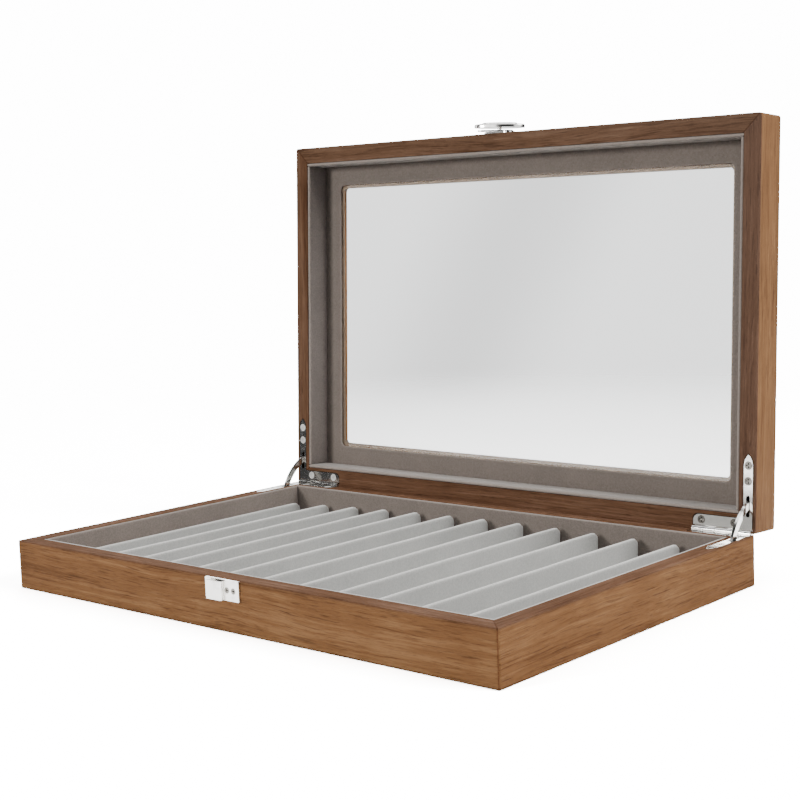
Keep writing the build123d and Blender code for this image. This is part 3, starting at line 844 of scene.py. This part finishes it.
for number in range(1, 12):
    velvetFin(f"tray_divider_{number}", 1.3 * number, 1.0)
velvetFin("tray_left_flap", 40.1, 0.0)
velvetFin("tray_right_flap", 52.7, 0.0)
print("tray fins covered")

# The room: what each kind of ray finds round the case. The camera sees plain white, the glass
# a softer grey behind it, and polished metal bright screens between dark gaps
room = {
    "seen": 15.0, "through": 2.15, "fill": 0.22, "fillBelow": 0.12, "fillFade": 0.1, "gap": 0.05,
    # screens by azimuth from -y towards -x in degrees: from, to, brightness
    "screens": [
        (-20.0, 22.0, 3.0), (29.0, 40.0, 0.7), (56.0, 80.0, 3.5), (-100.0, -60.0, 1.6), (118.0, 146.0, 2.0),
    ],
    "screenFoot": -0.5, "screenHead": 0.62, "edge": 0.1, "soft": 4.0,
    "ceiling": 2.5, "ceilingRange": (0.82, 0.92),
    # the shade behind the glass: azimuth of its middle, how it leans, half width and depth
    "shadeAt": 143.0, "shadeLean": 27.0, "shadeHalf": 5.0, "shadeDepth": 0.26,
}
floorLook = {
    "half": 2.0, "steps": 32, "fadeFrom": 0.55, "fadeTo": 1.25, "grain": 180.0,
    "grainRange": (0.3, 0.7, 0.985, 1.0), "seen": 14.0, "through": 2.95, "bounce": 0.35, "gloss": 3.0,
    # metal at the left end reflects a floor that is dark towards the left: where y - x passes these
    "darkFrom": 0.06, "darkTo": 0.18, "darkGloss": 0.015,
}


# A pale floor: a flat square grid that fades out into the room, so that it has no far edge
def makeFloor():
    half = floorLook["half"]
    steps = np.linspace(-half, half, floorLook["steps"] + 1)
    x, y = np.meshgrid(steps, steps)
    numbers = np.arange(x.size).reshape(x.shape)
    quads = np.stack([numbers[:-1, :-1], numbers[:-1, 1:], numbers[1:, 1:], numbers[1:, :-1]], axis=-1)
    mesh = bpy.data.meshes.new("studioFloor")
    points = np.stack([x, y, 0 * x], axis=-1)
    mesh.from_pydata(points.reshape(-1, 3).tolist(), [], quads.reshape(-1, 4).tolist())
    material, tree, shader = newMaterial("paleFloor")
    tree.nodes.remove(shader)
    vector = put(tree, "TexCoord").outputs["Object"]
    path = put(tree, "LightPath").outputs
    grain = noise(tree, vector, floorLook["grain"], 3.0).outputs[0]
    grain = remap(tree, grain, *floorLook["grainRange"])
    axes = put(tree, "SeparateXYZ", {0: vector}).outputs
    leftward = sums(tree, "SUBTRACT", axes[1], axes[0])
    dark = remap(tree, leftward, floorLook["darkFrom"], floorLook["darkTo"], 1.0, floorLook["darkGloss"])
    tone = sums(tree, "MULTIPLY", grain, floorLook["bounce"])
    rays = (("Glossy", "gloss", dark), ("Transmission", "through", grain), ("Camera", "seen", grain))
    for kind, key, pattern in rays:
        found = sums(tree, "MULTIPLY", pattern, floorLook[key])
        tone = put(tree, "Mix", {0: path[f"Is {kind} Ray"], 2: tone, 3: found}).outputs[0]
    grey = put(tree, "CombineXYZ", {0: tone, 1: tone, 2: tone}).outputs[0]
    plain = put(tree, "BsdfDiffuse", {"Color": grey})
    clear = put(tree, "BsdfTransparent")
    away = put(tree, "VectorMath", {0: vector}, operation="LENGTH").outputs["Value"]
    fade = remap(tree, away, floorLook["fadeFrom"], floorLook["fadeTo"])
    blend = put(tree, "MixShader", {0: fade, 1: plain.outputs[0], 2: clear.outputs[0]})
    tree.links.new(blend.outputs[0], tree.nodes["Material Output"].inputs["Surface"])
    mesh.materials.append(material)
    floor = bpy.data.objects.new("studioFloor", mesh)
    bpy.context.scene.collection.objects.link(floor)


makeFloor()


# Brightness of the screens in a direction: inside a screen's azimuths and between foot and head
def makeRoom():
    world = bpy.data.worlds.new("paleRoom")
    world.use_nodes = True
    tree = world.node_tree
    direction = put(tree, "TexCoord").outputs["Generated"]
    x, y, z = put(tree, "SeparateXYZ", {0: direction}).outputs
    azimuth = sums(tree, "ARCTAN2", sums(tree, "MULTIPLY", x, -1.0), sums(tree, "MULTIPLY", y, -1.0))
    azimuth = sums(tree, "MULTIPLY", azimuth, math.degrees(1))
    glow, soft = 0.0, room["soft"]
    for start, end, level in room["screens"]:
        rise = remap(tree, azimuth, start, start + soft, 0.0, level)
        inside = sums(tree, "MULTIPLY", rise, remap(tree, azimuth, end - soft, end, 1.0, 0.0))
        glow = sums(tree, "ADD", inside, glow)
    foot, head, edge = room["screenFoot"], room["screenHead"], room["edge"]
    above = remap(tree, z, foot, foot + edge)
    upright = sums(tree, "MULTIPLY", above, remap(tree, z, head - edge, head, 1.0, 0.0))
    glow = sums(tree, "MULTIPLY_ADD", glow, upright, room["gap"])
    glow = sums(tree, "ADD", glow, remap(tree, z, *room["ceilingRange"], 0.0, room["ceiling"]))
    shadeAt = sums(tree, "MULTIPLY_ADD", z, room["shadeLean"], room["shadeAt"])
    aside = apart(tree, azimuth, shadeAt)
    shade = remap(tree, aside, 0.0, room["shadeHalf"], 1 - room["shadeDepth"], 1.0)
    behind = sums(tree, "MULTIPLY", shade, room["through"])
    fade = room["fillFade"]
    light = remap(tree, z, -fade, fade, room["fillBelow"], room["fill"])
    path = put(tree, "LightPath").outputs
    for kind, found in (("Glossy", glow), ("Transmission", behind), ("Camera", room["seen"])):
        light = put(tree, "Mix", {0: path[f"Is {kind} Ray"], 2: light, 3: found}).outputs[0]
    tree.links.new(light, tree.nodes["Background"].inputs["Strength"])
    tree.nodes["Background"].inputs["Color"].default_value = (1.0, 1.0, 1.0, 1)
    bpy.context.scene.world = world


makeRoom()

# Square lamps: place, what they point at, width, watts and tint
lamps = {
    "key": ((-0.596, -1.529, 0.543), (0.0, 0.0, 0.10), 0.35, 20, (1, 0.985, 0.965)),
    "right": ((1.35, 0.30, 0.95), (0.1, 0.0, 0.12), 0.9, 28, (1, 0.99, 0.98)),
    "above": ((-0.2, -0.2, 2.1), (0.0, 0.0, 0.0), 1.6, 15, (0.98, 0.99, 1)),
    "behind": ((-1.7, 1.5, 1.1), (0.0, 0.05, 0.10), 1.2, 22, (1, 1, 1)),
}


def makeLamps():
    for name, (place, target, width, watts, tint) in lamps.items():
        data = bpy.data.lights.new(name + "Light", "AREA")
        data.shape = "SQUARE"
        data.size = width
        data.energy = watts
        data.color = tint
        light = bpy.data.objects.new(name + "Light", data)
        bpy.context.scene.collection.objects.link(light)
        turn = (Vector(target) - Vector(place)).to_track_quat("-Z", "Y")
        light.matrix_world = Matrix.Translation(place) @ turn.to_matrix().to_4x4()


makeLamps()
print("floor, room and lamps placed")
